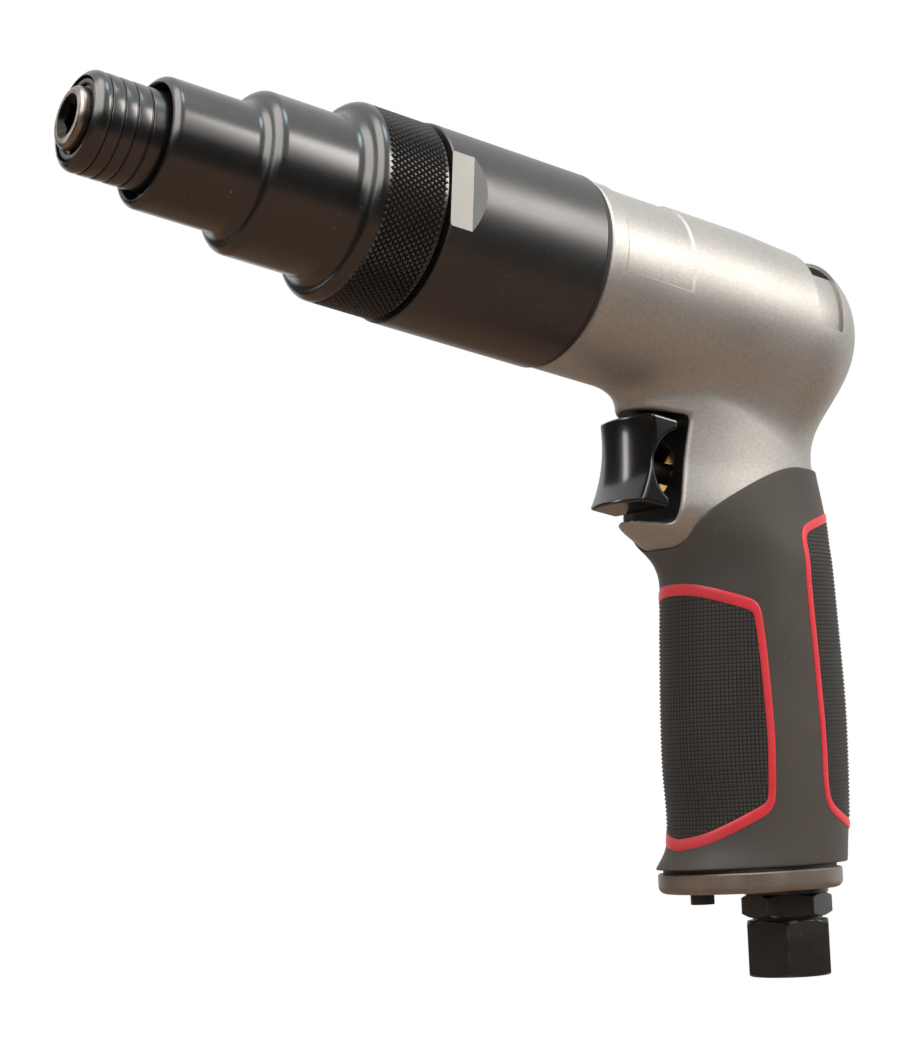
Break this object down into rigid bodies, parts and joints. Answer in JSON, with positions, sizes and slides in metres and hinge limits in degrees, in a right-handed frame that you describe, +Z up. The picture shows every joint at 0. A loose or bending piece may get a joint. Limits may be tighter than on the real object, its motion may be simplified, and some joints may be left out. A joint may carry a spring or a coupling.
{
  "type": "pneumatic screwdriver",
  "caption": "Pistol grip air screwdriver with a stepped knurled torque sleeve, quick-change hex chuck, sprung trigger, rubber grip and threaded air inlet.",
  "frame": {"origin": "centre of the bit socket's mouth, on the barrel axis", "axes": "+X along the barrel, out of the bit socket; +Z up, away from the grip; +Y to the tool's left"},
  "size_m": [0.2147, 0.044, 0.1671],
  "materials": {
    "silver_paint": "silver metallic paint on a casting, satin",
    "black_oxide": "black oxide, satin",
    "grip_rubber": "moulded, matt",
    "nickel_plate": "warm nickel, satin",
    "gloss_black": "moulded, glossy",
    "seal_rubber": "matt",
    "felt": "pressed felt",
    "brass": "turned",
    "steel": "ground",
    "spring_steel": "drawn wire",
    "vane_resin": "laminated"
  },
  "bodies": {
    "housing": {"motor_housing": "silver_paint", "grip_sleeve": "grip_rubber", "base_plate": "nickel_plate", "plate_gasket": "seal_rubber", "base_screw": "black_oxide", "inlet_bushing": "black_oxide", "inlet_adapter": "black_oxide", "inlet_screen": "brass", "exhaust_muffler": "felt", "motor_cylinder": "steel", "front_end_plate": "steel", "rear_end_plate": "steel", "front_bearing": "steel", "rear_bearing": "steel", "gear_case": "black_oxide", "case_seal": "seal_rubber", "ring_gear": "steel", "carrier_bearing": "steel", "sleeve_clip": "spring_steel", "throttle_bushing": "brass", "bushing_seal": "seal_rubber", "throttle_spring": "spring_steel"},
    "trigger": {"trigger": "gloss_black", "trigger_pin": "steel", "valve_stem": "steel", "valve_seal": "seal_rubber"},
    "reverser": {"reverse_valve": "brass", "reverse_lever": "gloss_black"},
    "rotor": {"rotor": "steel", "rotor_vanes": "vane_resin"},
    "spindle": {"planet_carrier": "steel", "planet_pins": "steel", "clutch_driver": "steel", "clutch_balls": "steel", "clutch_jaw": "steel", "clutch_spring": "spring_steel", "bit_holder": "steel", "bit_ball": "steel", "spring_stop": "spring_steel", "holder_washer": "steel", "snap_ring": "spring_steel", "collar_spring": "spring_steel"},
    "planet_1": {"planet_gear_1": "steel"},
    "planet_2": {"planet_gear_2": "steel"},
    "planet_3": {"planet_gear_3": "steel"},
    "collar": {"chuck_collar": "black_oxide"},
    "adjuster": {"adjusting_sleeve": "black_oxide", "nose_bush": "brass"},
    "nut": {"adjusting_nut": "steel", "thrust_balls": "steel", "thrust_washer": "steel"}
  },
  "joints": [
    {"name": "spindle_spin", "type": "hinge", "parent": "housing", "child": "spindle", "pos_m": [0, 0, 0], "axis": [1, 0, 0], "continuous": true},
    {"name": "rotor_spin", "type": "hinge", "parent": "housing", "child": "rotor", "pos_m": [-0.15, 0, 0], "axis": [1, 0, 0], "continuous": true},
    {"name": "planet_1_spin", "type": "hinge", "parent": "spindle", "child": "planet_1", "pos_m": [-0.1113, 0, -0.00945], "axis": [1, 0, 0], "continuous": true},
    {"name": "planet_2_spin", "type": "hinge", "parent": "spindle", "child": "planet_2", "pos_m": [-0.1113, 0.00818, 0.00473], "axis": [1, 0, 0], "continuous": true},
    {"name": "planet_3_spin", "type": "hinge", "parent": "spindle", "child": "planet_3", "pos_m": [-0.1113, -0.00818, 0.00473], "axis": [1, 0, 0], "continuous": true},
    {"name": "trigger_press", "type": "slide", "parent": "housing", "child": "trigger", "axis": [-1, 0, 0], "range_m": [0, 0.0025], "stiffness_N_per_m": 1800, "springref_m": -0.002, "deforming": ["throttle_spring"]},
    {"name": "reverse_turn", "type": "hinge", "parent": "housing", "child": "reverser", "pos_m": [-0.18, 0, 0], "axis": [1, 0, 0], "range_deg": [-60, 0]},
    {"name": "collar_slide", "type": "slide", "parent": "spindle", "child": "collar", "axis": [-1, 0, 0], "range_m": [0, 0.004], "stiffness_N_per_m": 1500, "springref_m": -0.003, "deforming": ["collar_spring"]},
    {"name": "sleeve_turn", "type": "hinge", "parent": "housing", "child": "adjuster", "pos_m": [-0.05, 0, 0], "axis": [1, 0, 0], "range_deg": [0, 720]},
    {"name": "nut_slide", "type": "slide", "parent": "housing", "child": "nut", "axis": [-1, 0, 0], "range_m": [0, 0.00251], "deforming": ["clutch_spring"]}
  ],
  "couplings": [
    {"joint": "rotor_spin", "follows": "spindle_spin", "ratio": 4.5},
    {"joint": "planet_1_spin", "follows": "spindle_spin", "ratio": -2.8},
    {"joint": "planet_2_spin", "follows": "spindle_spin", "ratio": -2.8},
    {"joint": "planet_3_spin", "follows": "spindle_spin", "ratio": -2.8},
    {"joint": "nut_slide", "follows": "sleeve_turn", "m_per_rad": 0.00019894}
  ]
}
